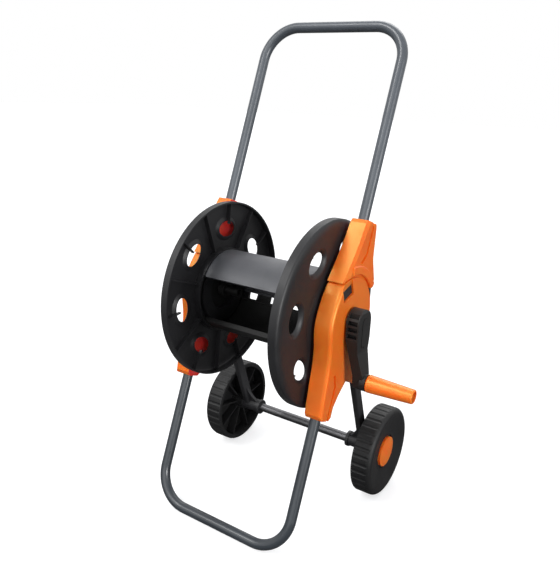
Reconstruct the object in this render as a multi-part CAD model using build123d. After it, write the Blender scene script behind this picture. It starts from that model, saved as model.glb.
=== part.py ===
from build123d import *
import math
import os

# Garden hose reel cart: a bent steel tube frame, two moulded side brackets, a hose drum
# turned by a crank, and two wheels behind. All sizes are in millimetres.
# The model is drawn about the cart's middle plane, x = 0, with the crank on the +x side,
# the wheels towards +y and the floor at z = 0. The last step moves it to its own origin.

# Tube frame
TUBE_D = 18.0
TUBE_WALL = 1.5
TUBE_SPACING = 274.0
FRAME_LENGTH = 894.0
FRAME_LEAN = 20.7
TUBE_BEND_R = 60.0
TUBE_CLEARANCE = 0.15

# Drum axis in the frame: along the uprights and behind their centre line
DRUM_S = 401.7
DRUM_N = 4.6
DRUM_PLAY = 1.0

# Side bracket and handle socket mouldings
BRACKET_IN = 13.0
BRACKET_OUT = 18.0
BRACKET_WALL = 3.0
BRACKET_FRONT_ROUND = 6.0
BRACKET_RIB = 2.6
BRACKET_RIB_ANGLES = (-70, -20, 30, 80, 160, 210)
HUB_R = 70.5
HUB_FRONT_ANGLE = -46.0
HUB_REAR_ANGLE = 104.0
SOCKET_REAR_ANGLE = 38.0
HUB_FLAT = 9.5
SOCKET_SKIN = 3.5
SOCKET_CHEEK = 6.0
SOCKET_SHIFT = 3.0
CHEST_RISE = 6.0
CHEST_SETBACK = 2.0
CHEST_DROP = 26.0
BELLY = 22.0
BELLY_DROP = 58.0
SHIN = 11.0
SHIN_DROP = 102.0
HEEL = 5.0
HEEL_RISE = 22.0
CALF = 14.0
CALF_RISE = 43.0
THIGH = 31.0
THIGH_RISE = 69.0
SOCKET_BELOW_DRUM = 169.7
LOWER_TUBE_GRIP = 84.0
SOCKET_ABOVE_DRUM = 162.5
UPPER_TUBE_GRIP = 78.0
SOCKET_FRONT_BULGE = 2.0
SOCKET_TOP_BEVEL = 3.7
SOCKET_WAIST = 23.0
SOCKET_WAIST_DROP = 55.0
SOCKET_WAIST_R = 50.0
SOCKET_TAIL = 47.0
SOCKET_TAIL_DROP = 87.5
SOCKET_TAIL_END = 11.0
SOCKET_TAIL_RAKE = 2.0
SEAM_GROOVE = 5.0
SEAM_INSET = 4.0
SEAM_CLEARANCE = 0.1
FACET_TOP = 2.5
FACET_SEAM = 3.5
FACET_WIDTH = 8.0
ARCH_FROM_ANGLE = -24.0
ARCH_TO_ANGLE = 48.0
ARCH_WIDTH = 14.0
ARCH_RISE = 2.0
ARCH_SLOPE = 1.6
SOCKET_GROOVE_W = 6.0
SOCKET_GROOVE_DEPTH = 4.0
LOWER_GROOVE = 58.0
UPPER_GROOVE = 52.0

# Lock clip in its window beside the seam
CLIP_LENGTH = 32.0
CLIP_WIDTH = 18.0
CLIP_PITCH_R = 51.5
CLIP_AT_ANGLE = -38.0
CLIP_DEPTH = 8.0
CLIP_RECESS = 3.0
CLIP_EDGE = 0.8
CLIP_LEAD_DEPTH = 2.0
CLIP_CLEARANCE = 0.15

# Drum
FLANGE_R = 160.0
RIM_DEPTH = 17.0
RIM_ROUND = 5.0
RIM_FADE = 14.0
FLANGE_WALL = 3.0
FLANGE_DOME = 3.0
HUB_RING_R = 60.0
HUB_RECESS_R = 37.0
HUB_RING_DEPTH = 7.5
HOLE_COUNT = 7
HOLE_PITCH_R = 110.5
HOLE_LONG = 21.0
HOLE_SHORT = 13.5
DISH_DEPTH = 6.0
DISH_FLARE = 12.0
DISH_LIFT = 0.4
DISH_WALL = 2.5
LEFT_HOLE_ANGLE = 187.2
RIGHT_HOLE_ANGLE = 169.5
FLANGE_RIB = 2.4
FLANGE_RIB_DEPTH = 9.0
FLANGE_RIB_REACH = 4.0
CORE_R = 74.0
CORE_WALL = 3.0
CORE_LIP = 6.0
CORE_SEAT = 2.7
CORE_CLEARANCE = 0.25
UPPER_CORE_FROM_ANGLE = -17.0
UPPER_CORE_TO_ANGLE = 148.5
LOWER_CORE_FROM_ANGLE = 218.0
LOWER_CORE_TO_ANGLE = 333.0
CORE_TAB_WIDTH = 27.0
CORE_TAB_SPACING = 123.0

# Shafts and bearings
SHAFT_R = 12.0
SHAFT_RUN = 0.06
SHAFT_PLATE_R = 33.0
SHAFT_PLATE = 5.0
BUSH_WALL = 4.0
BUSH_COLLAR_R = 21.0
BUSH_COLLAR = 3.0
BUSH_FIT = 0.05
SIDE_PLAY = 0.5
SQUARE = 15.0
SQUARE_LENGTH = 14.0
SQUARE_CLEARANCE = 0.1

# Crank
CRANK_RADIUS = 101.2
CRANK_HUB_R = 22.5
CRANK_WAIST = 26.0
CRANK_END_WIDTH = 20.0
CRANK_END_DROP = 13.0
CRANK_END_CORNER = 6.0
CRANK_HUB_DEPTH = 22.0
CRANK_END_DEPTH = 18.0
CRANK_LEAN = 9.0
CRANK_BOSS = 5.0
CRANK_BOSS_STEP = 0.7
CRANK_GAP = 3.5
CRANK_POCKETS = 4
CRANK_POCKET_STEP = 11.0
CRANK_POCKET_RISE = 14.0
CRANK_POCKET_WIDTH = 17.0
CRANK_POCKET_HIGH = 7.0
CRANK_POCKET_DEPTH = 9.0
CRANK_BEVEL = 3.0
CRANK_BEVEL_DROP = 6.0
COVER_LENGTH = 50.0
COVER_WIDTH = 15.0
COVER_DROP = 17.0
COVER_PLATE = 1.6
COVER_RISE = 0.6
COVER_GAP = 0.5
COVER_NOTCH_R = 2.2
SCREW_R = 3.0
SCREW_HEAD_R = 6.0
SCREW_HEAD = 3.0
SCREW_LENGTH = 14.0

# Crank grip
GRIP_LENGTH = 80.5
GRIP_ROOT_R = 15.2
GRIP_TIP_R = 11.9
GRIP_ROUND = 2.5
GRIP_TIP_BORE_R = 8.8
GRIP_TIP_BORE = 15.0
GRIP_PLAY = 0.6
GRIP_RUN = 0.06
SPINDLE_R = 5.0
SPINDLE_HEAD_R = 7.2
SPINDLE_HEAD = 3.5
SPINDLE_SET = 14.0

# Wheels and axle
WHEEL_R = 85.5
WHEEL_WIDTH = 38.0
WHEEL_OFFSET = 16.0
AXLE_Y = 281.4
AXLE_D = 17.0
AXLE_WALL = 1.5
AXLE_RUN = 0.08
TREAD_COUNT = 36
TREAD_SCALLOP_R = 6.0
TREAD_SCALLOP = 1.3
WHEEL_INNER_SHOULDER = 2.5
WHEEL_OUTER_SHOULDER = 10.0
WHEEL_RIM = 9.0
WHEEL_WEB = 4.0
WHEEL_DISH = 7.0
WHEEL_LIP = 2.0
WHEEL_HUB_R = 16.0
WHEEL_RIBS = 9
WHEEL_RIB = 3.0
WHEEL_RIB_INSET = 5.0
CAP_R = 29.0
CAP_RECESS_R = 33.0
CAP_LEDGE = 6.0
CAP_DISC = 5.0
CAP_DOME = 2.0
CAP_SKIRT = 3.0
CAP_SKIRT_DEPTH = 5.0
CAP_CLEARANCE = 0.2
AXLE_CLIP = 2.0
AXLE_CLIP_R = 13.0
AXLE_END = 1.5
WASHER_R = 15.0
WASHER = 3.4
WASHER_PLAY = 0.3

# Rear legs
LEG_WIDTH = 20.0
LEG_THICK = 11.5
LEG_EDGE = 2.5
LEG_AIM = 19.7
LEG_SOCKET_REACH = 137.3
LEG_PLUG = 42.0
LEG_SOCKET_WALL = 3.5
LEG_CLEARANCE = 0.15
SLEEVE_WALL = 4.6
SLEEVE_REACH = 33.0
SLEEVE_COLLAR = 6.0
SLEEVE_COLLAR_STEP = 2.0
SLEEVE_CLEARANCE = 0.1
GUSSET = 6.0
GUSSET_RISE = 62.0
GUSSET_HOLLOW = 9.0
GUSSET_BELLY = 13.0

# Water fittings on the side away from the crank
WATER_BORE_R = 5.5
INLET_CUP_R = 19.0
INLET_FLANGE_R = 30.0
INLET_FLANGE = 4.0
INLET_DEPTH = 33.0
INLET_WALL = 4.0
SPIGOT_R = 8.0
SPIGOT_LENGTH = 24.0
SPIGOT_LEAD = 1.0
SPIGOT_COLLAR_R = 12.0
SPIGOT_DROP = 27.0
SEAL_WIRE_R = 1.5
OUTLET_STEM = 12.0
OUTLET_NUT_R = 15.0
OUTLET_NUT = 9.0
OUTLET_SPIGOT_R = 8.0
OUTLET_SPIGOT = 26.0

# Worked-out sizes
TUBE_R = TUBE_D / 2
SIDE_X = TUBE_SPACING / 2
LOWER_SOCKET_S = DRUM_S - SOCKET_BELOW_DRUM
UPPER_SOCKET_S = DRUM_S + SOCKET_ABOVE_DRUM
BRACKET_IN_X = SIDE_X - BRACKET_IN
BRACKET_OUT_X = SIDE_X + BRACKET_OUT
SOCKET_R = HUB_R + SEAM_GROOVE
SOCKET_FRONT = TUBE_R + SOCKET_CHEEK + SOCKET_SHIFT
SOCKET_REAR = TUBE_R + SOCKET_CHEEK - SOCKET_SHIFT
BUSH_R = SHAFT_R + SHAFT_RUN + BUSH_WALL
BUSH_IN_X = BRACKET_IN_X - BUSH_COLLAR
HUB_OUT_X = BUSH_IN_X - DRUM_PLAY
HUB_FLOOR_X = HUB_OUT_X - FLANGE_WALL
WEB_OUT_X = HUB_OUT_X - FLANGE_DOME
WEB_IN_X = WEB_OUT_X - FLANGE_WALL
RIM_IN_X = WEB_OUT_X - RIM_DEPTH
CORE_SEAT_R = CORE_R + CORE_CLEARANCE
BUSH_OUT_X = BRACKET_OUT_X + BUSH_COLLAR - SIDE_PLAY
CRANK_IN_X = BRACKET_OUT_X + CRANK_GAP
CRANK_HUB_OUT_X = CRANK_IN_X + CRANK_HUB_DEPTH
CRANK_END_OUT_X = CRANK_HUB_OUT_X + CRANK_LEAN
GRIP_IN_X = CRANK_END_OUT_X + CRANK_BOSS + GRIP_PLAY
GRIP_OUT_X = GRIP_IN_X + GRIP_LENGTH
WHEEL_INNER_X = SIDE_X + WHEEL_OFFSET
WHEEL_OUTER_X = WHEEL_INNER_X + WHEEL_WIDTH
AXLE_R = AXLE_D / 2
AXLE_Z = WHEEL_R
CAP_FLOOR_X = WHEEL_OUTER_X - WHEEL_DISH - CAP_SKIRT_DEPTH
WHEEL_WEB_X = CAP_FLOOR_X - WHEEL_WEB
SLEEVE_R = AXLE_R + SLEEVE_CLEARANCE + SLEEVE_WALL
SLEEVE_INNER_X = SIDE_X - SLEEVE_REACH
SLEEVE_OUT_X = WHEEL_INNER_X - WASHER - 2 * WASHER_PLAY

# Reference planes. In the side plane a point is (n, s): n behind the uprights' centre line,
# s along the uprights from the foot bar. Its third direction is +x.
lean = math.radians(FRAME_LEAN)
along_tube = Vector(0, math.sin(lean), math.cos(lean))
behind_tube = Vector(0, math.cos(lean), -math.sin(lean))
SIDE = Plane(origin=(0, 0, TUBE_R), x_dir=behind_tube, z_dir=(1, 0, 0))
FRAME = Plane(origin=(0, 0, TUBE_R), x_dir=(1, 0, 0), z_dir=-behind_tube)
drum_centre = SIDE.from_local_coords(Vector(DRUM_N, DRUM_S, 0))
DRUM_Y = drum_centre.Y
DRUM_Z = drum_centre.Z
GRIP_Z = DRUM_Z - CRANK_RADIUS
ACROSS = (1, 0, 0)


def side_slab(sketch, x_from, x_to):
    """A sketch in the side plane made into a slab between two distances from the middle."""
    return extrude(SIDE.offset(x_from) * sketch, x_to - x_from, dir=ACROSS)


def rod(y, z, radius, x_from, x_to):
    """A round bar across the cart."""
    start = Plane(origin=(x_from, y, z), x_dir=(0, 1, 0), z_dir=ACROSS)
    return extrude(start * Circle(radius), x_to - x_from, dir=ACROSS)


def turned(section, y, z):
    """A section of (x, radius) points turned about a line across the cart."""
    plane = Plane(origin=(0, y, z), x_dir=ACROSS, z_dir=(0, -1, 0))
    return revolve(plane * section, axis=Axis((0, y, z), ACROSS))


def turned_points(points, y, z):
    """A turned piece whose section has straight sides."""
    return turned(make_face(Polyline(*points, close=True)), y, z)


def ring_sector(inner_r, outer_r, angle_from, angle_to):
    """A stretch of a flat ring about the sketch's origin."""
    outer = CenterArc((0, 0), outer_r, angle_from, angle_to - angle_from)
    inner = CenterArc((0, 0), inner_r, angle_from, angle_to - angle_from)
    return make_face(outer + inner + Line(outer @ 0, inner @ 0) + Line(outer @ 1, inner @ 1))


def hub_point(angle, radius):
    """A side-plane point on a circle about the drum axis, the angle turning to the rear."""
    turn = math.radians(angle)
    return (DRUM_N + radius * math.sin(turn), DRUM_S + radius * math.cos(turn))


def tube_loop(bar_s, end_s):
    """One bent tube: two uprights joined by a bar across the cart."""
    corners = [(-SIDE_X, end_s), (-SIDE_X, bar_s), (SIDE_X, bar_s), (SIDE_X, end_s)]
    path = FRAME * FilletPolyline(*corners, radius=TUBE_BEND_R)
    ring = Circle(TUBE_R) - Circle(TUBE_R - TUBE_WALL)
    return sweep(Plane(origin=path @ 0, z_dir=path % 0) * ring, path=path)


# Leg line in the side plane, from the axle towards the drum
axle_local = SIDE.to_local_coords(Vector(0, AXLE_Y, AXLE_Z))
leg_foot = Vector(axle_local.X, axle_local.Y, 0)
leg_line = Vector(DRUM_N + LEG_AIM, DRUM_S, 0) - leg_foot
leg_along = leg_line.normalized()
leg_across = Vector(leg_along.Y, -leg_along.X, 0)
LEG_EXPOSED = leg_line.length - LEG_SOCKET_REACH


def leg_point(along, across):
    """A side-plane point set out from the axle along the leg."""
    place = leg_foot + leg_along * along + leg_across * across
    return (place.X, place.Y)


def leg_strip(start, end, width):
    """A straight strip along the leg in the side plane."""
    half = width / 2
    corners = [leg_point(start, -half), leg_point(end, -half), leg_point(end, half), leg_point(start, half)]
    return make_face(Polyline(*corners, close=True))


def upright_bore(radius, s_from, s_to):
    """A round bar along the right upright."""
    start = Plane(origin=SIDE.from_local_coords(Vector(0, s_from, SIDE_X)), z_dir=along_tube)
    return extrude(start * Circle(radius), s_to - s_from, dir=along_tube)


def band(s_from, s_to):
    """A wide strip of the side plane between two places along the uprights."""
    return Pos(0, (s_from + s_to) / 2) * Rectangle(FRAME_LENGTH, s_to - s_from)


def socket_groove(mouth_s, inner_s):
    """The hooked groove beside the tube swelling on a socket's outer face."""
    beside = TUBE_R - SOCKET_SHIFT
    towards = math.copysign(SOCKET_GROOVE_W * 3, inner_s - mouth_s)
    line = FilletPolyline(
        (beside, mouth_s),
        (beside, inner_s),
        (-SOCKET_GROOVE_W, inner_s + towards),
        radius=SOCKET_GROOVE_W,
    )
    strip = trace(line, line_width=SOCKET_GROOVE_W)
    return side_slab(strip, BRACKET_OUT_X - SOCKET_GROOVE_DEPTH, BRACKET_OUT_X + SOCKET_GROOVE_DEPTH)


def bracket_outline():
    """Side view of the bracket: drum hub, foot tube socket and leg socket."""
    wall = LEG_WIDTH / 2 + LEG_SOCKET_WALL
    hub_front = hub_point(HUB_FRONT_ANGLE, HUB_R)
    hub_rear = hub_point(HUB_REAR_ANGLE, HUB_R)
    front_foot = (-SOCKET_FRONT, LOWER_SOCKET_S + SOCKET_CHEEK)
    front = Spline(
        hub_front,
        (DRUM_N - HUB_R + HUB_FLAT, DRUM_S + CHEST_RISE),
        (DRUM_N - HUB_R + HUB_FLAT + CHEST_SETBACK, DRUM_S - CHEST_DROP),
        (-SOCKET_FRONT - BELLY, DRUM_S - BELLY_DROP),
        (-SOCKET_FRONT - SHIN, DRUM_S - SHIN_DROP),
        front_foot,
    )
    tail = Polyline(
        front_foot,
        (-SOCKET_FRONT + SOCKET_CHEEK, LOWER_SOCKET_S),
        (SOCKET_REAR + HEEL - SOCKET_CHEEK, LOWER_SOCKET_S),
        (SOCKET_REAR + HEEL, LOWER_SOCKET_S + SOCKET_CHEEK),
        (SOCKET_REAR + HEEL, LOWER_SOCKET_S + HEEL_RISE),
        (SOCKET_REAR + CALF, LOWER_SOCKET_S + CALF_RISE),
        (SOCKET_REAR + THIGH, LOWER_SOCKET_S + THIGH_RISE),
        leg_point(LEG_EXPOSED, -wall),
        leg_point(LEG_EXPOSED, wall),
        hub_rear,
    )
    crown = ThreePointArc(hub_rear, hub_point((HUB_FRONT_ANGLE + HUB_REAR_ANGLE) / 2, HUB_R), hub_front)
    return make_face(front + tail + crown)


def rounded_front(body, radius):
    """Rounds the outer edge of the curved front of a bracket body."""
    outer_edges = body.faces().sort_by(Axis.X)[-1].edges()
    plain = outer_edges.filter_by(GeomType.LINE) + outer_edges.filter_by(GeomType.CIRCLE)
    return fillet([edge for edge in outer_edges if edge not in plain], radius)


def drawn_in(outline, wall):
    """An outline moved in by a wall, with its free curves as plain splines."""
    edges = offset(outline, -wall, kind=Kind.INTERSECTION).edges()
    curves = edges.filter_by(GeomType.OFFSET)
    return make_face([edge.to_splines() if edge in curves else edge for edge in edges])


def clip_plate(clearance):
    """The lock clip's rectangle in the side plane."""
    plate = Rectangle(CLIP_LENGTH + 2 * clearance, CLIP_WIDTH + 2 * clearance)
    place = hub_point(CLIP_AT_ANGLE, CLIP_PITCH_R)
    return Pos(*place) * Rot(0, 0, -CLIP_AT_ANGLE) * plate


def clip_lead():
    """The shallow channel that runs from the clip's window out to the seam."""
    inner_r = CLIP_PITCH_R + CLIP_WIDTH / 2 - 1
    outer_r = SOCKET_R
    channel = Pos(0, (inner_r + outer_r) / 2) * Rectangle(CLIP_LENGTH, outer_r - inner_r)
    return Pos(DRUM_N, DRUM_S) * Rot(0, 0, -CLIP_AT_ANGLE) * channel


def side_bracket():
    """Right bracket: a ribbed shell, open towards the drum."""
    outline = bracket_outline()
    outer = rounded_front(side_slab(outline, BRACKET_IN_X, BRACKET_OUT_X), BRACKET_FRONT_ROUND)
    inside = drawn_in(outline, BRACKET_WALL)
    hollow = side_slab(inside, BRACKET_IN_X - 1, BRACKET_OUT_X - BRACKET_WALL)
    hollow = rounded_front(hollow, BRACKET_FRONT_ROUND - BRACKET_WALL)
    tube_end_s = LOWER_SOCKET_S + LOWER_TUBE_GRIP
    hollow -= side_slab(band(0, tube_end_s + SOCKET_SKIN), BRACKET_IN_X - 2, BRACKET_OUT_X)
    boss = rod(DRUM_Y, DRUM_Z, BUSH_R + BUSH_FIT + BUSH_WALL, BRACKET_IN_X, BRACKET_OUT_X)
    leg_end = LEG_EXPOSED + LEG_PLUG
    leg_block = leg_strip(LEG_EXPOSED, leg_end + LEG_SOCKET_WALL, LEG_WIDTH + 2 * LEG_SOCKET_WALL)
    clip_boss = offset(clip_plate(CLIP_CLEARANCE), BRACKET_WALL, kind=Kind.INTERSECTION)
    inner_forms = [
        boss,
        side_slab(leg_block, BRACKET_IN_X, BRACKET_OUT_X),
        side_slab(clip_boss, BRACKET_OUT_X - CLIP_DEPTH - BRACKET_WALL, BRACKET_OUT_X),
    ]
    for angle in BRACKET_RIB_ANGLES:
        spoke = Pos(DRUM_N, DRUM_S) * Rot(0, 0, -angle) * Pos(0, HUB_R / 2) * Rectangle(BRACKET_RIB, HUB_R)
        inner_forms.append(side_slab(spoke, BRACKET_IN_X + BRACKET_WALL, BRACKET_OUT_X))
    body = outer - hollow
    for form in inner_forms:
        body += form & outer
    body -= upright_bore(TUBE_R + TUBE_CLEARANCE, LOWER_SOCKET_S - 1, tube_end_s)
    body -= rod(DRUM_Y, DRUM_Z, BUSH_R + BUSH_FIT, BRACKET_IN_X - 1, BRACKET_OUT_X + 1)
    pocket = leg_strip(LEG_EXPOSED - 1, leg_end + LEG_CLEARANCE, LEG_WIDTH + 2 * LEG_CLEARANCE)
    half = LEG_THICK / 2 + LEG_CLEARANCE
    body -= side_slab(pocket, SIDE_X - half, SIDE_X + half)
    body -= side_slab(clip_plate(CLIP_CLEARANCE), BRACKET_OUT_X - CLIP_DEPTH, BRACKET_OUT_X + 1)
    body -= side_slab(clip_lead(), BRACKET_OUT_X - CLIP_LEAD_DEPTH, BRACKET_OUT_X + 1)
    body -= socket_groove(LOWER_SOCKET_S - 1, LOWER_SOCKET_S + LOWER_GROOVE)
    return body


def lock_clip():
    """Dark clip that holds the handle socket to the bracket, set back in its window."""
    plate = side_slab(clip_plate(0), BRACKET_OUT_X - CLIP_DEPTH, BRACKET_OUT_X - CLIP_RECESS)
    top = plate.faces().sort_by(Axis.X)[-1]
    return chamfer(top.edges(), CLIP_EDGE)


def socket_outline():
    """Side view of the handle socket, which ends in an arc about the drum."""
    seam_front = hub_point(HUB_FRONT_ANGLE, SOCKET_R)
    seam_rear = hub_point(SOCKET_REAR_ANGLE, SOCKET_R)
    shoulder_s = UPPER_SOCKET_S - SOCKET_CHEEK
    front = SagittaArc(seam_front, (-SOCKET_FRONT, shoulder_s), -SOCKET_FRONT_BULGE)
    top = Polyline(
        front @ 1,
        (-SOCKET_FRONT + SOCKET_TOP_BEVEL, UPPER_SOCKET_S),
        (SOCKET_REAR + SOCKET_TOP_BEVEL, UPPER_SOCKET_S),
        (SOCKET_REAR + 2 * SOCKET_TOP_BEVEL, shoulder_s),
    )
    tail = (SOCKET_REAR + SOCKET_TAIL, UPPER_SOCKET_S - SOCKET_TAIL_DROP)
    rear = FilletPolyline(
        top @ 1,
        (SOCKET_REAR + SOCKET_WAIST, UPPER_SOCKET_S - SOCKET_WAIST_DROP),
        tail,
        radius=SOCKET_WAIST_R,
    )
    end = Polyline(tail, (tail[0] - SOCKET_TAIL_RAKE, tail[1] - SOCKET_TAIL_END), seam_rear)
    seam = ThreePointArc(seam_rear, hub_point(0, SOCKET_R), seam_front)
    return make_face(front + top + rear + end + seam)


def front_facet():
    """The block cut away in front of the socket's outer face, which leaves a sharp crease."""
    top_n = -SOCKET_FRONT + SOCKET_TOP_BEVEL
    seam_n, seam_s = hub_point(HUB_FRONT_ANGLE, SOCKET_R)
    crease_top = SIDE.from_local_coords(Vector(top_n, UPPER_SOCKET_S, BRACKET_OUT_X - FACET_TOP))
    crease_seam = SIDE.from_local_coords(Vector(seam_n, seam_s, BRACKET_OUT_X - FACET_SEAM))
    outer_top = SIDE.from_local_coords(Vector(top_n + FACET_WIDTH, UPPER_SOCKET_S, BRACKET_OUT_X))
    down = crease_seam - crease_top
    facing = down.cross(outer_top - crease_top).normalized()
    block = 2 * SOCKET_ABOVE_DRUM
    face = Plane(origin=crease_top, x_dir=down, z_dir=facing) * Rectangle(block, block)
    return extrude(face, block, dir=facing)


def arch_band():
    """The raised band over the seam on the socket's outer face."""
    band = ring_sector(SOCKET_R, SOCKET_R + ARCH_WIDTH, 90 - ARCH_TO_ANGLE, 90 - ARCH_FROM_ANGLE)
    body = side_slab(Pos(DRUM_N, DRUM_S) * band, BRACKET_OUT_X - BRACKET_WALL, BRACKET_OUT_X + ARCH_RISE)
    top = body.faces().sort_by(Axis.X)[-1]
    return chamfer(top.edges(), ARCH_SLOPE)


def handle_socket():
    """Right handle socket: a shell that sits over the bracket's hub, with a grooved seam."""
    outline = socket_outline()
    inside = drawn_in(outline, BRACKET_WALL)
    tube_end_s = UPPER_SOCKET_S - UPPER_TUBE_GRIP
    body = side_slab(outline, BRACKET_IN_X, BRACKET_OUT_X)
    hollow = inside & band(DRUM_S, tube_end_s - SOCKET_SKIN)
    body -= side_slab(hollow, BRACKET_IN_X - 1, BRACKET_OUT_X - 2 * BRACKET_WALL)
    turn_in = math.degrees(SEAM_INSET / HUB_R)
    neck = ring_sector(
        HUB_R + SEAM_CLEARANCE,
        SOCKET_R + BRACKET_WALL / 2,
        90 - SOCKET_REAR_ANGLE + turn_in,
        90 - HUB_FRONT_ANGLE - turn_in,
    )
    body += side_slab(Pos(DRUM_N, DRUM_S) * neck, BRACKET_IN_X, BRACKET_OUT_X - SEAM_INSET)
    body -= front_facet()
    body += arch_band() & side_slab(outline, BRACKET_IN_X, BRACKET_OUT_X + ARCH_RISE)
    body -= upright_bore(TUBE_R + TUBE_CLEARANCE, tube_end_s, UPPER_SOCKET_S + 1)
    body -= socket_groove(UPPER_SOCKET_S + 1, UPPER_SOCKET_S - UPPER_GROOVE)
    return body


def leg():
    """Right leg: an arm plugged into the bracket, with a sleeve for the axle at its foot."""
    arm = leg_strip(0, LEG_EXPOSED + LEG_PLUG, LEG_WIDTH)
    body = side_slab(arm, SIDE_X - LEG_THICK / 2, SIDE_X + LEG_THICK / 2)
    up = behind_tube * leg_along.X + along_tube * leg_along.Y
    body = fillet(body.edges().filter_by(Axis((0, 0, 0), up)), LEG_EDGE)
    body += rod(AXLE_Y, AXLE_Z, SLEEVE_R, SLEEVE_INNER_X, SLEEVE_OUT_X)
    collar_r = SLEEVE_R + SLEEVE_COLLAR_STEP
    body += rod(AXLE_Y, AXLE_Z, collar_r, SLEEVE_INNER_X, SLEEVE_INNER_X + SLEEVE_COLLAR)
    web_plane = Plane(origin=(0, AXLE_Y, AXLE_Z), x_dir=ACROSS, z_dir=Vector(1, 0, 0).cross(up))
    arm_face = SIDE_X - LEG_THICK / 2
    heel = (SLEEVE_INNER_X + SLEEVE_COLLAR, SLEEVE_R - 1)
    hollow = (arm_face - GUSSET_HOLLOW, SLEEVE_R + GUSSET_BELLY)
    inner_edge = ThreePointArc(heel, hollow, (arm_face, GUSSET_RISE))
    buried_x = arm_face + 1
    back = Polyline((arm_face, GUSSET_RISE), (buried_x, GUSSET_RISE), (buried_x, 0), (heel[0], 0), heel)
    body += extrude(web_plane * make_face(inner_edge + back), GUSSET / 2, both=True)
    body -= rod(AXLE_Y, AXLE_Z, AXLE_R + SLEEVE_CLEARANCE, SLEEVE_INNER_X - 1, SLEEVE_OUT_X + 1)
    return body


def axle_tube():
    """Plain steel tube through both legs and wheels."""
    end_x = CAP_FLOOR_X + AXLE_CLIP + AXLE_END
    return ring(AXLE_Y, AXLE_Z, AXLE_R - AXLE_WALL, AXLE_R, -end_x, end_x)


def ring(y, z, bore, radius, x_from, x_to):
    """A plain ring across the cart."""
    return rod(y, z, radius, x_from, x_to) - rod(y, z, bore, x_from - 1, x_to + 1)


def wheel():
    """Right wheel: grooved tread, dished outer face, ribbed and open towards the cart."""
    rim_in_r = WHEEL_R - WHEEL_RIM
    dish_x = WHEEL_OUTER_X - WHEEL_DISH
    bore = AXLE_R + AXLE_RUN
    section = Polyline(
        (WHEEL_INNER_X, WHEEL_R),
        (WHEEL_OUTER_X, WHEEL_R),
        (WHEEL_OUTER_X, rim_in_r - WHEEL_LIP),
        (dish_x, CAP_RECESS_R + CAP_LEDGE),
        (dish_x, CAP_RECESS_R),
        (dish_x - CAP_SKIRT_DEPTH / 2, CAP_RECESS_R),
        (dish_x - CAP_SKIRT_DEPTH / 2, CAP_R + CAP_CLEARANCE),
        (CAP_FLOOR_X, CAP_R + CAP_CLEARANCE),
        (CAP_FLOOR_X, bore),
        (WHEEL_INNER_X, bore),
        (WHEEL_INNER_X, WHEEL_HUB_R),
        (WHEEL_WEB_X, WHEEL_HUB_R),
        (WHEEL_WEB_X, CAP_RECESS_R),
        (WHEEL_WEB_X + WHEEL_DISH / 2, rim_in_r),
        (WHEEL_INNER_X, rim_in_r),
        close=True,
    )
    face = make_face(section)
    face = fillet(face.vertices().group_by(Axis.Y)[-1].sort_by(Axis.X)[0], WHEEL_INNER_SHOULDER)
    face = fillet(face.vertices().group_by(Axis.Y)[-1].sort_by(Axis.X)[-1], WHEEL_OUTER_SHOULDER)
    body = turned(face, AXLE_Y, AXLE_Z)
    for index in range(WHEEL_RIBS):
        turn = Rotation(360 / WHEEL_RIBS * index, 0, 0)
        rib = Pos(0, 0, (WHEEL_HUB_R + rim_in_r) / 2) * Box(
            WHEEL_WEB_X - WHEEL_INNER_X - WHEEL_RIB_INSET,
            WHEEL_RIB,
            rim_in_r - WHEEL_HUB_R + 2,
        )
        middle_x = (WHEEL_INNER_X + WHEEL_RIB_INSET + WHEEL_WEB_X + 1) / 2
        body += Pos(middle_x, AXLE_Y, AXLE_Z) * turn * rib
    scallop_at = WHEEL_R - TREAD_SCALLOP + TREAD_SCALLOP_R
    for index in range(TREAD_COUNT):
        turn = math.radians(360 / TREAD_COUNT * (index + 0.5))
        y = AXLE_Y + scallop_at * math.cos(turn)
        z = AXLE_Z + scallop_at * math.sin(turn)
        body -= rod(y, z, TREAD_SCALLOP_R, WHEEL_INNER_X - 1, WHEEL_OUTER_X + 1)
    return body


def hub_cap():
    """Right hub cap: a low domed disc with a skirt that plugs into the wheel."""
    disc_x = CAP_FLOOR_X + CAP_SKIRT_DEPTH
    edge_x = disc_x + CAP_DISC - CAP_DOME
    dome_r = (CAP_R**2 + CAP_DOME**2) / (2 * CAP_DOME)
    half_way = math.sqrt(dome_r**2 - CAP_R**2 / 4) - dome_r
    outer = Line((disc_x, CAP_R), (edge_x, CAP_R))
    dome = ThreePointArc((edge_x, CAP_R), (disc_x + CAP_DISC + half_way, CAP_R / 2), (disc_x + CAP_DISC, 0))
    inner = Polyline(
        (disc_x + CAP_DISC, 0),
        (disc_x, 0),
        (disc_x, CAP_R - CAP_SKIRT),
        (CAP_FLOOR_X, CAP_R - CAP_SKIRT),
        (CAP_FLOOR_X, CAP_R),
        (disc_x, CAP_R),
    )
    return turned(make_face(outer + dome + inner), AXLE_Y, AXLE_Z)


def oval(x, grown):
    """A hole's oval straight above the drum axis, grown all round."""
    place = Plane(origin=(x, DRUM_Y, DRUM_Z + HOLE_PITCH_R), x_dir=(0, 1, 0), z_dir=ACROSS)
    return place * Ellipse(HOLE_LONG + grown, HOLE_SHORT + grown)


def upright_rib(inner_r):
    """A flange rib straight above the drum axis, from a radius out to the rim."""
    depth = WEB_OUT_X - WEB_IN_X + FLANGE_RIB_DEPTH
    place = Pos(WEB_OUT_X - depth / 2, DRUM_Y, DRUM_Z + (inner_r + FLANGE_R) / 2)
    return place * Box(depth, FLANGE_RIB, FLANGE_R - inner_r)


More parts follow.
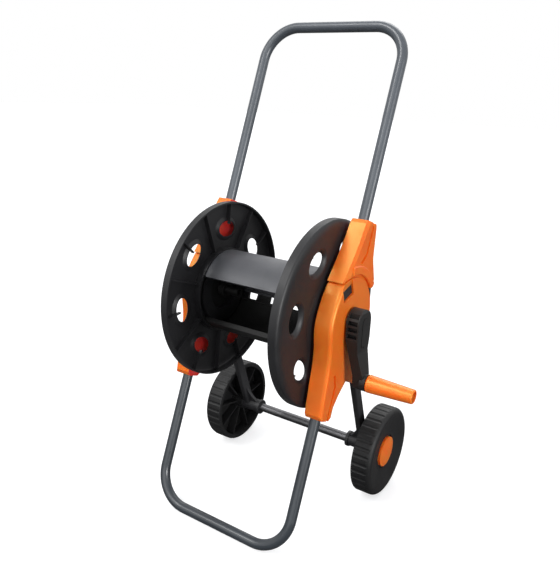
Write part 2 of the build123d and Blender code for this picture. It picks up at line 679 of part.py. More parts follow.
def flange(hole_angle):
    """Right flange: a pan with a rolled rim, oval dished holes and thin ribs inside."""
    bore = SHAFT_R + CORE_CLEARANCE
    seat_out_r = CORE_SEAT_R + CORE_SEAT
    face_r = FLANGE_R - RIM_FADE
    band_x = WEB_OUT_X - RIM_ROUND
    roll = EllipticalCenterArc((band_x, face_r), RIM_ROUND, RIM_FADE)
    outside = Polyline(
        (band_x, FLANGE_R),
        (RIM_IN_X, FLANGE_R),
        (RIM_IN_X, bore),
        (HUB_OUT_X, bore),
        (HUB_OUT_X, HUB_RECESS_R + FLANGE_WALL),
        (WEB_OUT_X, CORE_R),
        (WEB_OUT_X, face_r),
    )
    blank = turned(make_face(roll + outside), DRUM_Y, DRUM_Z)
    inner_roll = EllipticalCenterArc((band_x, face_r), RIM_ROUND - FLANGE_WALL, RIM_FADE - FLANGE_WALL)
    inside = Polyline(
        (band_x, FLANGE_R - FLANGE_WALL),
        (RIM_IN_X - 1, FLANGE_R - FLANGE_WALL),
        (RIM_IN_X - 1, seat_out_r),
        (WEB_IN_X, seat_out_r),
        (WEB_IN_X, face_r),
    )
    hollow = turned(make_face(inner_roll + inside), DRUM_Y, DRUM_Z)
    ring_x = WEB_IN_X - HUB_RING_DEPTH
    middle = [
        (RIM_IN_X - 1, 0),
        (RIM_IN_X - 1, CORE_SEAT_R),
        (WEB_IN_X, CORE_SEAT_R),
        (WEB_IN_X, HUB_RING_R),
        (ring_x, HUB_RING_R),
        (ring_x, HUB_RECESS_R),
        (HUB_FLOOR_X, HUB_RECESS_R),
        (HUB_FLOOR_X, 0),
    ]
    throat_x = WEB_OUT_X - DISH_DEPTH
    opening = loft([
        oval(throat_x - 1, 0),
        oval(throat_x + DISH_DEPTH / 2, DISH_FLARE / 4),
        oval(WEB_OUT_X + DISH_LIFT, DISH_FLARE),
    ])
    collar = loft([oval(throat_x, DISH_WALL), oval(WEB_OUT_X, DISH_WALL + DISH_FLARE)])
    hole_rib = upright_rib(HOLE_PITCH_R + HOLE_SHORT - FLANGE_RIB_REACH)
    long_rib = upright_rib(CORE_SEAT_R)
    drum_axis = Axis((0, DRUM_Y, DRUM_Z), ACROSS)
    step = 360 / HOLE_COUNT
    kept = []
    openings = []
    for index in range(HOLE_COUNT):
        turn = hole_angle - 90 + step * index
        kept.append(collar.rotate(drum_axis, turn))
        kept.append(hole_rib.rotate(drum_axis, turn))
        kept.append(long_rib.rotate(drum_axis, turn + step / 2))
        openings.append(opening.rotate(drum_axis, turn))
    return blank - (hollow - kept) - turned_points(middle, DRUM_Y, DRUM_Z) - openings


DRUM_SIDE = Plane(origin=(0, DRUM_Y, DRUM_Z), x_dir=(0, 1, 0), z_dir=ACROSS)


def core_shell(angle_from, angle_to):
    """A curved plate between the flanges, with a lip turned in along both long edges."""
    inner_r = CORE_R - CORE_WALL
    sector = ring_sector(inner_r, CORE_R, angle_from, angle_to)
    for angle, side in ((angle_from, 1), (angle_to, -1)):
        lip = Pos(inner_r - CORE_LIP / 2 + 0.5, side * CORE_WALL / 2) * Rectangle(CORE_LIP + 1, CORE_WALL)
        sector += Rot(0, 0, angle) * lip
    return extrude(DRUM_SIDE.offset(-WEB_IN_X) * sector, 2 * WEB_IN_X, dir=ACROSS)


def lower_core_shell():
    """The lower plate, with two rear tabs that reach up to the upper plate's edge."""
    body = core_shell(LOWER_CORE_FROM_ANGLE, LOWER_CORE_TO_ANGLE)
    bridge = ring_sector(CORE_R - CORE_WALL, CORE_R, LOWER_CORE_TO_ANGLE - 1, 360 + UPPER_CORE_FROM_ANGLE)
    for side in (-1, 1):
        start = side * CORE_TAB_SPACING / 2 - CORE_TAB_WIDTH / 2
        body += extrude(DRUM_SIDE.offset(start) * bridge, CORE_TAB_WIDTH, dir=ACROSS)
    return body


def crank_shaft():
    """Right shaft: a plate in the flange hub, a bearing journal and a square end."""
    plate_in = HUB_FLOOR_X - SHAFT_PLATE
    body = rod(DRUM_Y, DRUM_Z, SHAFT_PLATE_R, plate_in, HUB_FLOOR_X)
    body += rod(DRUM_Y, DRUM_Z, SHAFT_R, plate_in, CRANK_IN_X)
    square = extrude(DRUM_SIDE.offset(CRANK_IN_X) * Rectangle(SQUARE, SQUARE), SQUARE_LENGTH, dir=ACROSS)
    body += square
    end_x = CRANK_IN_X + SQUARE_LENGTH
    body -= rod(DRUM_Y, DRUM_Z, SCREW_R, end_x - SCREW_LENGTH, end_x + 1)
    return body


def water_shaft():
    """Left shaft: hollow for the water, with a seal groove outside and a stem inside."""
    plate_in = HUB_FLOOR_X - SHAFT_PLATE
    stem_in = plate_in - OUTLET_STEM
    shaft_end = BRACKET_OUT_X + INLET_DEPTH - INLET_WALL - SPIGOT_COLLAR_R * 2
    groove = BRACKET_OUT_X + INLET_FLANGE + SEAL_WIRE_R * 2
    section = [
        (stem_in, WATER_BORE_R),
        (stem_in, SHAFT_R),
        (plate_in, SHAFT_R),
        (plate_in, SHAFT_PLATE_R),
        (HUB_FLOOR_X, SHAFT_PLATE_R),
        (HUB_FLOOR_X, SHAFT_R),
        (groove - SEAL_WIRE_R, SHAFT_R),
        (groove - SEAL_WIRE_R, SHAFT_R - SEAL_WIRE_R),
        (groove + SEAL_WIRE_R, SHAFT_R - SEAL_WIRE_R),
        (groove + SEAL_WIRE_R, SHAFT_R),
        (shaft_end, SHAFT_R),
        (shaft_end, WATER_BORE_R),
    ]
    return turned_points(section, DRUM_Y, DRUM_Z)


def crank_outline():
    """Face view of the crank: a long round hub and a square end joined by their tangents."""
    hub = Circle(CRANK_HUB_R).edges()
    waist = (Pos(0, -CRANK_WAIST) * Circle(CRANK_HUB_R)).edges()
    end = RectangleRounded(CRANK_END_WIDTH, 2 * CRANK_END_DROP, CRANK_END_CORNER)
    return make_hull(hub + waist + (Pos(0, -CRANK_RADIUS) * end).edges())


def crank_arm():
    """Crank: an arm that leans outward, with pockets down both edges of its hub."""
    depth = CRANK_END_OUT_X - CRANK_IN_X
    body = extrude(DRUM_SIDE.offset(CRANK_IN_X) * crank_outline(), depth + 1, dir=ACROSS)
    low = -CRANK_RADIUS - CRANK_END_DROP - 1
    side_view = Polyline(
        (CRANK_IN_X, CRANK_HUB_R + 1),
        (CRANK_HUB_OUT_X - CRANK_BEVEL, CRANK_HUB_R + 1),
        (CRANK_HUB_OUT_X, CRANK_HUB_R + 1 - CRANK_BEVEL_DROP),
        (CRANK_HUB_OUT_X, -CRANK_WAIST - CRANK_HUB_R),
        (CRANK_END_OUT_X, -CRANK_RADIUS + CRANK_END_DROP),
        (CRANK_END_OUT_X, low),
        (CRANK_END_OUT_X - CRANK_END_DEPTH, low),
        (CRANK_END_OUT_X - CRANK_END_DEPTH, -CRANK_RADIUS + CRANK_END_DROP),
        (CRANK_IN_X, -CRANK_HUB_R),
        close=True,
    )
    plane = Plane(origin=(0, DRUM_Y, DRUM_Z), x_dir=ACROSS, z_dir=(0, -1, 0))
    body &= extrude(plane * make_face(side_view), 2 * CRANK_HUB_R, both=True)
    pocket_x = CRANK_IN_X + CRANK_HUB_DEPTH / 2
    pocket = Box(CRANK_POCKET_WIDTH, 2 * CRANK_POCKET_DEPTH, CRANK_POCKET_HIGH)
    for index in range(CRANK_POCKETS):
        pocket_z = DRUM_Z + CRANK_POCKET_RISE - CRANK_POCKET_STEP * index
        for side in (-1, 1):
            body -= Pos(pocket_x, DRUM_Y + side * CRANK_HUB_R, pocket_z) * pocket
    square = Rectangle(SQUARE + 2 * SQUARE_CLEARANCE, SQUARE + 2 * SQUARE_CLEARANCE)
    floor_x = CRANK_IN_X + SQUARE_LENGTH + SQUARE_CLEARANCE
    body -= extrude(DRUM_SIDE.offset(CRANK_IN_X - 1) * square, floor_x - CRANK_IN_X + 1, dir=ACROSS)
    body -= rod(DRUM_Y, DRUM_Z, SCREW_R + SQUARE_CLEARANCE, floor_x - 1, CRANK_HUB_OUT_X)
    head_x = CRANK_HUB_OUT_X - COVER_PLATE - SCREW_HEAD - SQUARE_CLEARANCE
    body -= rod(DRUM_Y, DRUM_Z, SCREW_HEAD_R + SQUARE_CLEARANCE, head_x, CRANK_HUB_OUT_X + 1)
    cover_x = CRANK_HUB_OUT_X - COVER_PLATE
    body -= extrude(cover_outline(COVER_GAP, cover_x), COVER_PLATE + 1, dir=ACROSS)
    boss_x = CRANK_END_OUT_X + CRANK_BOSS
    body += rod(DRUM_Y, GRIP_Z, GRIP_ROOT_R - CRANK_BOSS_STEP, CRANK_END_OUT_X - CRANK_BOSS, boss_x)
    body -= rod(DRUM_Y, GRIP_Z, SPINDLE_R, CRANK_END_OUT_X - SPINDLE_SET, boss_x + 1)
    return body


def cover_outline(clearance, x):
    """The oblong cover's outline on the crank's outer face."""
    oblong = SlotOverall(COVER_LENGTH + 2 * clearance, COVER_WIDTH + 2 * clearance)
    return DRUM_SIDE.offset(x) * Pos(0, -COVER_DROP) * Rot(0, 0, 90) * oblong


def crank_cover():
    """Thin oblong cover over the crank screw, notched at its lower end."""
    inner_x = CRANK_HUB_OUT_X - COVER_PLATE
    body = extrude(cover_outline(0, inner_x), COVER_PLATE + COVER_RISE, dir=ACROSS)
    low_z = DRUM_Z - COVER_DROP - COVER_LENGTH / 2
    return body - rod(DRUM_Y, low_z, COVER_NOTCH_R, inner_x - 1, CRANK_HUB_OUT_X + 1)


def crank_screw():
    """Screw that holds the crank on the square end of the shaft."""
    end_x = CRANK_IN_X + SQUARE_LENGTH
    head_x = CRANK_HUB_OUT_X - COVER_PLATE - SCREW_HEAD - SQUARE_CLEARANCE
    body = rod(DRUM_Y, DRUM_Z, SCREW_R, end_x - SCREW_LENGTH, head_x)
    return body + rod(DRUM_Y, DRUM_Z, SCREW_HEAD_R, head_x, head_x + SCREW_HEAD)


def grip_spindle():
    """Headed pin in the crank's end that the grip turns on."""
    head_x = GRIP_OUT_X - GRIP_TIP_BORE + GRIP_PLAY
    body = rod(DRUM_Y, GRIP_Z, SPINDLE_R, CRANK_END_OUT_X - SPINDLE_SET, head_x)
    return body + rod(DRUM_Y, GRIP_Z, SPINDLE_HEAD_R, head_x, head_x + SPINDLE_HEAD)


def crank_grip():
    """Tapered grip, open at its outer end."""
    bore = SPINDLE_R + GRIP_RUN
    floor_x = GRIP_OUT_X - GRIP_TIP_BORE
    section = Polyline(
        (GRIP_IN_X, bore),
        (GRIP_IN_X, GRIP_ROOT_R),
        (GRIP_OUT_X, GRIP_TIP_R),
        (GRIP_OUT_X, GRIP_TIP_BORE_R),
        (floor_x, GRIP_TIP_BORE_R),
        (floor_x, bore),
        close=True,
    )
    face = make_face(section)
    rim = face.vertices().group_by(Axis.Y)[-1] + face.vertices().group_by(Axis.X)[-1].sort_by(Axis.Y)[-1:]
    return turned(fillet(rim, GRIP_ROUND), DRUM_Y, GRIP_Z)


def bearing_bush():
    """Right bearing: a collared bush in the bracket's hub."""
    bore = SHAFT_R + SHAFT_RUN
    body = ring(DRUM_Y, DRUM_Z, bore, BUSH_R, BUSH_IN_X, BUSH_OUT_X)
    return body + ring(DRUM_Y, DRUM_Z, bore, BUSH_COLLAR_R, BUSH_IN_X, BRACKET_IN_X)


def inlet_elbow():
    """Water inlet on the left bracket: a closed cup round the shaft with a spigot below."""
    back_x = BRACKET_OUT_X + BUSH_COLLAR
    end_x = BRACKET_OUT_X + INLET_DEPTH
    spigot_x = end_x - INLET_WALL - SPIGOT_COLLAR_R
    bore = SHAFT_R + SHAFT_RUN
    body = rod(DRUM_Y, DRUM_Z, INLET_CUP_R, back_x, end_x)
    body += rod(DRUM_Y, DRUM_Z, INLET_FLANGE_R, BRACKET_OUT_X, BRACKET_OUT_X + INLET_FLANGE)
    body += rod(DRUM_Y, DRUM_Z, INLET_CUP_R, BRACKET_OUT_X, back_x)
    down = Plane(origin=(spigot_x, DRUM_Y, DRUM_Z), x_dir=(1, 0, 0), z_dir=(0, 0, -1))
    body += extrude(down * Circle(SPIGOT_COLLAR_R), SPIGOT_DROP, dir=(0, 0, -1))
    pin = extrude(down * Circle(SPIGOT_R), SPIGOT_DROP + SPIGOT_LENGTH, dir=(0, 0, -1))
    body += chamfer(pin.edges().sort_by(Axis.Z)[0], SPIGOT_LEAD)
    body -= rod(DRUM_Y, DRUM_Z, BUSH_R + BUSH_FIT, BRACKET_OUT_X - 1, BUSH_OUT_X + SIDE_PLAY)
    body -= rod(DRUM_Y, DRUM_Z, bore, BRACKET_OUT_X, end_x - INLET_WALL)
    body -= extrude(down * Circle(WATER_BORE_R), SPIGOT_DROP + SPIGOT_LENGTH + 1, dir=(0, 0, -1))
    return body


def shaft_seal():
    """Rubber ring in the water shaft's groove."""
    groove = BRACKET_OUT_X + INLET_FLANGE + SEAL_WIRE_R * 2
    return ring(DRUM_Y, DRUM_Z, SHAFT_R - SEAL_WIRE_R, SHAFT_R, groove - SEAL_WIRE_R, groove + SEAL_WIRE_R)


def outlet_nipple():
    """Hose connection inside the drum, on the water shaft's stem."""
    stem_in = HUB_FLOOR_X - SHAFT_PLATE - OUTLET_STEM
    nut_out = stem_in + OUTLET_NUT
    section = [
        (nut_out, SHAFT_R),
        (nut_out, OUTLET_NUT_R),
        (stem_in - FLANGE_WALL, OUTLET_NUT_R),
        (stem_in - FLANGE_WALL, OUTLET_SPIGOT_R),
        (stem_in - FLANGE_WALL - OUTLET_SPIGOT, OUTLET_SPIGOT_R),
        (stem_in - FLANGE_WALL - OUTLET_SPIGOT, WATER_BORE_R),
        (stem_in, WATER_BORE_R),
        (stem_in, SHAFT_R),
    ]
    return turned_points(section, DRUM_Y, DRUM_Z)


def left(shape):
    """The mirror image of a piece on the other side of the cart."""
    return mirror(shape, about=Plane.YZ)


def pair(shape):
    """A piece and its mirror image as two solids of one node."""
    return Compound(children=[shape, left(shape)])


bracket = side_bracket()
socket = handle_socket()
clip = lock_clip()
right_leg = leg()
right_wheel = wheel()
cap = hub_cap()
bush = bearing_bush()
axle_clip = ring(AXLE_Y, AXLE_Z, AXLE_R, AXLE_CLIP_R, CAP_FLOOR_X + WASHER_PLAY, CAP_FLOOR_X + AXLE_CLIP)
washer_x = SLEEVE_OUT_X + WASHER_PLAY
washer = ring(AXLE_Y, AXLE_Z, AXLE_R + SLEEVE_CLEARANCE, WASHER_R, washer_x, washer_x + WASHER)

nodes = {
    "lower_frame_tube": tube_loop(0, LOWER_SOCKET_S + LOWER_TUBE_GRIP),
    "handle_tube": tube_loop(FRAME_LENGTH, UPPER_SOCKET_S - UPPER_TUBE_GRIP),
    "right_side_bracket": bracket,
    "left_side_bracket": left(bracket),
    "right_handle_socket": socket,
    "left_handle_socket": left(socket),
    "right_lock_clip": clip,
    "left_lock_clip": left(clip),
    "right_leg": right_leg,
    "left_leg": left(right_leg),
    "axle_tube": axle_tube(),
    "right_wheel": right_wheel,
    "left_wheel": left(right_wheel),
    "right_hub_cap": cap,
    "left_hub_cap": left(cap),
    "axle_clips": pair(axle_clip),
    "axle_washers": pair(washer),
    "right_flange": flange(RIGHT_HOLE_ANGLE),
    "left_flange": left(flange(LEFT_HOLE_ANGLE)),
    "upper_core_shell": core_shell(UPPER_CORE_FROM_ANGLE, UPPER_CORE_TO_ANGLE),
    "lower_core_shell": lower_core_shell(),
    "crank_shaft": crank_shaft(),
    "water_shaft": left(water_shaft()),
    "right_bearing_bush": bush,
    "left_bearing_bush": left(bush),
    "crank_arm": crank_arm(),
    "crank_cover": crank_cover(),
    "crank_screw": crank_screw(),
    "grip_spindle": grip_spindle(),
    "crank_grip": crank_grip(),
    "inlet_elbow": left(inlet_elbow()),
    "shaft_seal": left(shaft_seal()),
    "outlet_nipple": left(outlet_nipple()),
}

# The cart's own origin is on the floor, under the middle of its whole length and width
middle_x = (GRIP_OUT_X - WHEEL_OUTER_X) / 2
front_y = min(-TUBE_R, DRUM_Y - FLANGE_R)
middle_y = (AXLE_Y + WHEEL_R + front_y) / 2
TO_ORIGIN = Pos(-middle_x, -middle_y, 0)

os.makedirs("parts", exist_ok=True)
for name, shape in nodes.items():
    export_step(TO_ORIGIN * shape, f"parts/{name}.step")
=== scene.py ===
import math

import bpy
from mathutils import Matrix, Vector

# Dresses the garden hose reel cart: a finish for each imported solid, the studio and the camera.
# Every visible form is in the solids, so no shape is added here.
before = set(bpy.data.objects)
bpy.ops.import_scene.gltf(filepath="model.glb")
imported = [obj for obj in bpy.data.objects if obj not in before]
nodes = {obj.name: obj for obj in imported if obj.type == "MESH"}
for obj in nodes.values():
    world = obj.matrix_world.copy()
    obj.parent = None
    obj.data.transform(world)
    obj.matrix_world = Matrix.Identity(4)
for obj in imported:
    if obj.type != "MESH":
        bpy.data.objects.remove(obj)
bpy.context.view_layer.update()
scene = bpy.context.scene

MM = 0.001

# The camera's place in metres and its angles in degrees, fitted to the tubes, flanges and wheels.
CAMERA_LENS_MM = 39.307
CAMERA_PLACE = (0.53820, -0.91180, 0.7303)
CAMERA_AZIMUTH = 32.66
CAMERA_PITCH = 17.23
CAMERA_ROLL = 2.56

# Far soft lights: the way each one comes from, its strength and its spread in degrees.
# A strength of pi from straight ahead lights a white face to full white.
LAMPS = {
    "key_front_left": ((-0.35, -0.60, 0.72), 1.4, 20),
    "fill_right": ((0.96, -0.25, 0.13), 2.2, 20),
    "fill_front": ((0.12, -0.95, 0.28), 1.25, 60),
    "rim_top": ((-0.15, 0.62, 0.77), 1.2, 40),
}
BRIGHT_SIDE = (-0.6, 0.1, 0.79)  # the way to the lightest part of the room, up and to the left
FLOOR_SIZE = 40  # metres

SHEEN_PATCH_MM = 25  # how far apart the duller and the shinier patches of a skin lie
SHADE_STOPS = (0.35, 0.65)  # where a noise pattern turns from one shade to the other

# The Mix node's sockets for colours, which share their names with its sockets for numbers.
MIX_FACTOR, MIX_FIRST, MIX_SECOND, MIX_RESULT = 0, 6, 7, 2


def linear(hex_colour):
    """An sRGB hex colour as the linear values that a shader takes."""
    parts = [int(hex_colour[i : i + 2], 16) / 255 for i in (1, 3, 5)]
    return [p / 12.92 if p <= 0.04045 else ((p + 0.055) / 1.055) ** 2.4 for p in parts] + [1.0]


def add(tree, kind, settings, links=()):
    """One shader node with its settings, and links into its sockets."""
    node = tree.nodes.new(kind)
    for name, value in settings.items():
        if isinstance(name, int) or name in node.inputs:
            node.inputs[name].default_value = value
        else:
            setattr(node, name, value)
    for name, source in dict(links).items():
        tree.links.new(source, node.inputs[name])
    return node


def empty_tree(owner):
    """The node tree of a new material or world, with nothing in it."""
    owner.use_nodes = True
    owner.node_tree.nodes.clear()
    return owner.node_tree


def finish_of(name, look):
    """A new material with one surface shader, and the piece's own coordinates in metres."""
    material = bpy.data.materials.new(name)
    tree = empty_tree(material)
    shader = add(tree, "ShaderNodeBsdfPrincipled", look)
    add(tree, "ShaderNodeOutputMaterial", {}, {"Surface": shader.outputs["BSDF"]})
    place = add(tree, "ShaderNodeTexCoord", {}).outputs["Object"]
    return material, tree, shader, place


def two_tone(tree, place, shader, shades, patch_mm):
    """Soft patches of two close shades, about patch_mm across."""
    pattern = {"Scale": 1 / (patch_mm * MM), "Detail": 3.0}
    patches = add(tree, "ShaderNodeTexNoise", pattern, {"Vector": place})
    blend = add(tree, "ShaderNodeValToRGB", {}, {"Fac": patches.outputs["Fac"]})
    for stop, position, shade in zip(blend.color_ramp.elements, SHADE_STOPS, shades):
        stop.position = position
        stop.color = linear(shade)
    tree.links.new(blend.outputs["Color"], shader.inputs["Base Color"])
    return blend.outputs["Color"]


def skin(tree, place, shader, grain_mm, depth_mm, rough):
    """A moulded or sprayed skin: small bumps, and a roughness that wanders between two values.

    The real grain is a few tenths of a millimetre across. That is too fine to show in the render,
    so grain_mm is drawn as coarse as it needs to be to show.
    """
    pattern = {"Scale": 1 / (grain_mm * MM), "Detail": 2.0}
    specks = add(tree, "ShaderNodeTexNoise", pattern, {"Vector": place})
    relief = {"Strength": 0.5, "Distance": depth_mm * MM}
    bump = add(tree, "ShaderNodeBump", relief, {"Height": specks.outputs["Fac"]})
    tree.links.new(bump.outputs["Normal"], shader.inputs["Normal"])

    pattern = {"Scale": 1 / (SHEEN_PATCH_MM * MM), "Detail": 4.0}
    wander = add(tree, "ShaderNodeTexNoise", pattern, {"Vector": place})
    smooth, dull = rough
    limits = {"From Min": 0.3, "From Max": 0.7, "To Min": smooth, "To Max": dull}
    sheen = add(tree, "ShaderNodeMapRange", limits, {"Value": wander.outputs["Fac"]})
    tree.links.new(sheen.outputs["Result"], shader.inputs["Roughness"])


def sprayed_paint(name, shades):
    """Powder paint on bent steel tube: satin, with a slight orange peel."""
    material, tree, shader, place = finish_of(name, {"IOR": 1.5})
    two_tone(tree, place, shader, shades, patch_mm=90)
    skin(tree, place, shader, grain_mm=1.6, depth_mm=0.05, rough=(0.28, 0.38))
    return material


def moulded_orange(name, inward=None):
    """Injection-moulded orange ABS: a warm shine, and red light that soaks through its thin walls.

    A side moulding gets inward, the way its open side faces. Its faces that look that way are away
    from the light.
    They get a painted red shade: a red base colour in place of the orange, standing in for the dim
    red light that came through the wall.
    """
    look = {
        "IOR": 1.5,
        "Specular IOR Level": 0.9,
        "Specular Tint": linear("#f2ff9e"),
        "Subsurface Weight": 0.6,
        "Subsurface Radius": (1.0, 0.15, 0.06),
        "Subsurface Scale": 10 * MM,
    }
    material, tree, shader, place = finish_of(name, look)
    own_orange = two_tone(tree, place, shader, ("#ea6b1e", "#ee7322"), patch_mm=70)
    skin(tree, place, shader, grain_mm=0.9, depth_mm=0.02, rough=(0.33, 0.43))
    # Painted red shade: faces that look inward get a red base colour instead of the orange.
    if inward:
        normal = add(tree, "ShaderNodeTexCoord", {}).outputs["Normal"]
        way = {"operation": "DOT_PRODUCT", 1: inward}
        facing = add(tree, "ShaderNodeVectorMath", way, {0: normal}).outputs["Value"]
        limits = {"From Min": 0.6, "From Max": 0.95}
        painted_shade_mask = add(tree, "ShaderNodeMapRange", limits, {"Value": facing}).outputs["Result"]
        painted_red_shade = {"data_type": "RGBA", MIX_SECOND: linear("#e8383a")}
        shade = add(tree, "ShaderNodeMix", painted_red_shade, {MIX_FACTOR: painted_shade_mask, MIX_FIRST: own_orange})
        tree.links.new(shade.outputs[MIX_RESULT], shader.inputs["Base Color"])
    return material


def moulded_dark(name, shades, rough, shine=0.5):
    """Injection-moulded dark plastic: a waxy sheen that varies across the moulding."""
    material, tree, shader, place = finish_of(name, {"IOR": 1.49, "Specular IOR Level": shine})
    two_tone(tree, place, shader, shades, patch_mm=60)
    skin(tree, place, shader, grain_mm=1.0, depth_mm=0.03, rough=rough)
    return material


def drawn_steel(name, shades):
    """Dull drawn steel with a film of oil: a dark tone, slightly mottled."""
    material, tree, shader, place = finish_of(name, {"Metallic": 1.0})
    two_tone(tree, place, shader, shades, patch_mm=30)
    skin(tree, place, shader, grain_mm=0.8, depth_mm=0.02, rough=(0.38, 0.5))
    return material


def sealing_rubber(name, shades):
    """Black nitrile rubber: matt, with a slight bloom."""
    material, tree, shader, place = finish_of(name, {"IOR": 1.52})
    two_tone(tree, place, shader, shades, patch_mm=8)
    skin(tree, place, shader, grain_mm=0.6, depth_mm=0.02, rough=(0.7, 0.85))
    return material


# The handle tube is given a lighter, bluer grey than the lower tube.
handle_paint = sprayed_paint("grey_powder_paint_on_handle_tube", ("#44494f", "#4b5057"))
frame_paint = sprayed_paint("dark_grey_powder_paint_on_lower_tube", ("#2d3136", "#34393e"))

# Plain orange for the hub caps and the grip. Each side's open mouldings get an orange with a
# painted red shade on their inward faces.
orange = moulded_orange("moulded_orange_abs")
orange_with_painted_shade = {
    "right": moulded_orange("moulded_orange_abs_painted_shade_right", (-1, 0, 0)),
    "left": moulded_orange("moulded_orange_abs_painted_shade_left", (1, 0, 0)),
}

# The flanges shine a little more than the other black mouldings.
flange_plastic = moulded_dark(
    "moulded_black_flange_polypropylene", ("#1a1a1c", "#1e1e20"), rough=(0.4, 0.52), shine=0.42
)
# The core shells are lit and shaded copies of one plastic. The upper shell gets a mid grey,
# painted top light, and the lower one, which lies under it, gets nearly black, painted shade.
upper_core_plastic_painted_light = moulded_dark(
    "moulded_core_polypropylene_painted_top_light", ("#46474b", "#4f5054"), rough=(0.42, 0.55)
)
# The same painted-shade black is also used for the water shaft and the outlet nipple inside the
# core.
dark_inner_plastic_painted_shade = moulded_dark(
    "moulded_core_polypropylene_painted_shade", ("#0f0f0f", "#141414"), rough=(0.46, 0.56), shine=0.4
)
# The crank is a dull black, and the legs and lock clips a very dark grey.
crank_plastic = moulded_dark(
    "moulded_black_crank_polypropylene", ("#171717", "#1b1b1b"), rough=(0.44, 0.58), shine=0.35
)
leg_plastic = moulded_dark(
    "moulded_grey_leg_polypropylene", ("#1d1d1f", "#222224"), rough=(0.44, 0.58), shine=0.4
)
# The wheels are polyethylene, nearly black and dull.
wheel_plastic = moulded_dark(
    "moulded_black_wheel_polyethylene", ("#101011", "#141415"), rough=(0.46, 0.6), shine=0.34
)
# Acetal runs smooth, so the bushes and the crank shaft have a tighter shine.
bearing_plastic = moulded_dark(
    "moulded_grey_bearing_acetal", ("#4a4a4c", "#535356"), rough=(0.32, 0.42)
)
steel = drawn_steel("drawn_steel_oiled", ("#565658", "#636365"))
rubber = sealing_rubber("black_nitrile_rubber", ("#141414", "#1d1d1d"))

finishes = {
    "lower_frame_tube": frame_paint,
    "handle_tube": handle_paint,
    "axle_tube": steel,
    "axle_clips": steel,
    "axle_washers": wheel_plastic,
    "upper_core_shell": upper_core_plastic_painted_light,
    "lower_core_shell": dark_inner_plastic_painted_shade,
    "crank_shaft": bearing_plastic,
    "crank_arm": crank_plastic,
    "crank_cover": crank_plastic,
    "crank_screw": steel,
    "crank_grip": orange,
    "grip_spindle": steel,
    "water_shaft": dark_inner_plastic_painted_shade,
    "shaft_seal": rubber,
    "inlet_elbow": crank_plastic,
    "outlet_nipple": dark_inner_plastic_painted_shade,
}
for side in ("right", "left"):
    finishes[f"{side}_side_bracket"] = orange_with_painted_shade[side]
    finishes[f"{side}_handle_socket"] = orange_with_painted_shade[side]
    finishes[f"{side}_hub_cap"] = orange
    finishes[f"{side}_lock_clip"] = leg_plastic
    finishes[f"{side}_leg"] = leg_plastic
    finishes[f"{side}_wheel"] = wheel_plastic
    finishes[f"{side}_flange"] = flange_plastic
    finishes[f"{side}_bearing_bush"] = bearing_plastic
for name, material in finishes.items():
    nodes[name].data.materials.clear()
    nodes[name].data.materials.append(material)


def photo_camera():
    """The camera where the photo was taken from, with its slight roll."""
    data = bpy.data.cameras.new("photo_camera")
    data.lens = CAMERA_LENS_MM
    camera = bpy.data.objects.new("photo_camera", data)
    scene.collection.objects.link(camera)
    azimuth = math.radians(CAMERA_AZIMUTH)
    pitch = math.radians(CAMERA_PITCH)
    roll = math.radians(CAMERA_ROLL)
    level = Vector((math.cos(azimuth), math.sin(azimuth), 0))
    flat_ahead = Vector((-math.sin(azimuth), math.cos(azimuth), 0))
    ahead = flat_ahead * math.cos(pitch) - Vector((0, 0, math.sin(pitch)))
    upright = level.cross(ahead)
    right = level * math.cos(roll) + upright * math.sin(roll)
    up = upright * math.cos(roll) - level * math.sin(roll)
    turn = Matrix((right, up, -ahead)).transposed()
    camera.matrix_world = Matrix.Translation(Vector(CAMERA_PLACE)) @ turn.to_4x4()
    scene.camera = camera


def sun(name, from_way, strength, spread):
    """A far soft light that shines from a direction, with its spread in degrees."""
    data = bpy.data.lights.new(name, "SUN")
    data.energy = strength
    data.angle = math.radians(spread)
    lamp = bpy.data.objects.new(name, data)
    scene.collection.objects.link(lamp)
    lamp.rotation_euler = Vector(from_way).to_track_quat("Z", "Y").to_euler()


def any_ray(tree, first, *others):
    """1 for a ray of any of the named kinds, and 0 for the rest."""
    path = add(tree, "ShaderNodeLightPath", {}).outputs
    found = path[first]
    for kind in others:
        either = {0: found, 1: path[kind]}
        found = add(tree, "ShaderNodeMath", {"operation": "MAXIMUM"}, either).outputs[0]
    return found


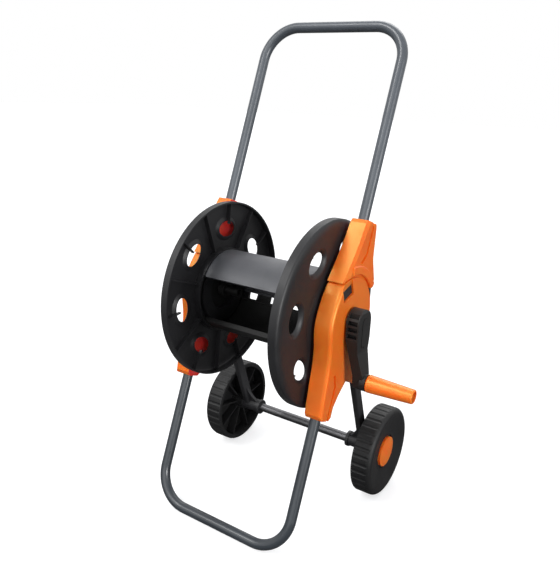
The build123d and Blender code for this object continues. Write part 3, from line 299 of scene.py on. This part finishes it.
def white_room():
    """A room that is white to look at and in a shine, and lights the cart from its bright side."""
    scene.world = bpy.data.worlds.new("studio")
    tree = empty_tree(scene.world)
    way = add(tree, "ShaderNodeTexCoord", {}).outputs["Generated"]
    bright_side = {"operation": "DOT_PRODUCT", 1: BRIGHT_SIDE}
    towards = add(tree, "ShaderNodeVectorMath", bright_side, {0: way}).outputs["Value"]
    limits = {"From Min": -0.3, "From Max": 0.7, "To Min": 0.1, "To Max": 1.0}
    strength = add(tree, "ShaderNodeMapRange", limits, {"Value": towards}).outputs["Result"]
    pale = {"Color": linear("#f4f6f8")}
    room = add(tree, "ShaderNodeBackground", pale, {"Strength": strength})
    white = add(tree, "ShaderNodeBackground", {"Color": linear("#ffffff"), "Strength": 1.0})
    seen = any_ray(tree, "Is Camera Ray", "Is Glossy Ray", "Is Transmission Ray")
    ends = {0: seen, 1: room.outputs[0], 2: white.outputs[0]}
    pick = add(tree, "ShaderNodeMixShader", {}, ends)
    add(tree, "ShaderNodeOutputWorld", {}, {"Surface": pick.outputs[0]})


def studio_floor():
    """A plain pale floor that looks white and keeps a soft shadow.

    The shine of the dark mouldings takes the plain floor, so that their lower faces stay dark.
    """
    bpy.ops.mesh.primitive_plane_add(size=FLOOR_SIZE)
    floor = bpy.context.object
    floor.name = "studio_floor"
    material = bpy.data.materials.new("pale_studio_floor")
    tree = empty_tree(material)
    plain = add(tree, "ShaderNodeBsdfDiffuse", {"Color": linear("#5c5c5c")})
    shaded = add(tree, "ShaderNodeBsdfDiffuse", {"Color": linear("#b4b4b6")})
    glow = add(tree, "ShaderNodeEmission", {"Color": linear("#ffffff"), "Strength": 0.64})
    white = add(tree, "ShaderNodeAddShader", {}, {0: shaded.outputs[0], 1: glow.outputs[0]})
    seen = any_ray(tree, "Is Camera Ray", "Is Transmission Ray")
    ends = {0: seen, 1: plain.outputs[0], 2: white.outputs[0]}
    pick = add(tree, "ShaderNodeMixShader", {}, ends)
    add(tree, "ShaderNodeOutputMaterial", {}, {"Surface": pick.outputs[0]})
    floor.data.materials.append(material)


scene.view_settings.view_transform = "Standard"
photo_camera()
white_room()
studio_floor()
for name, (from_way, strength, spread) in LAMPS.items():
    sun(name, from_way, strength, spread)
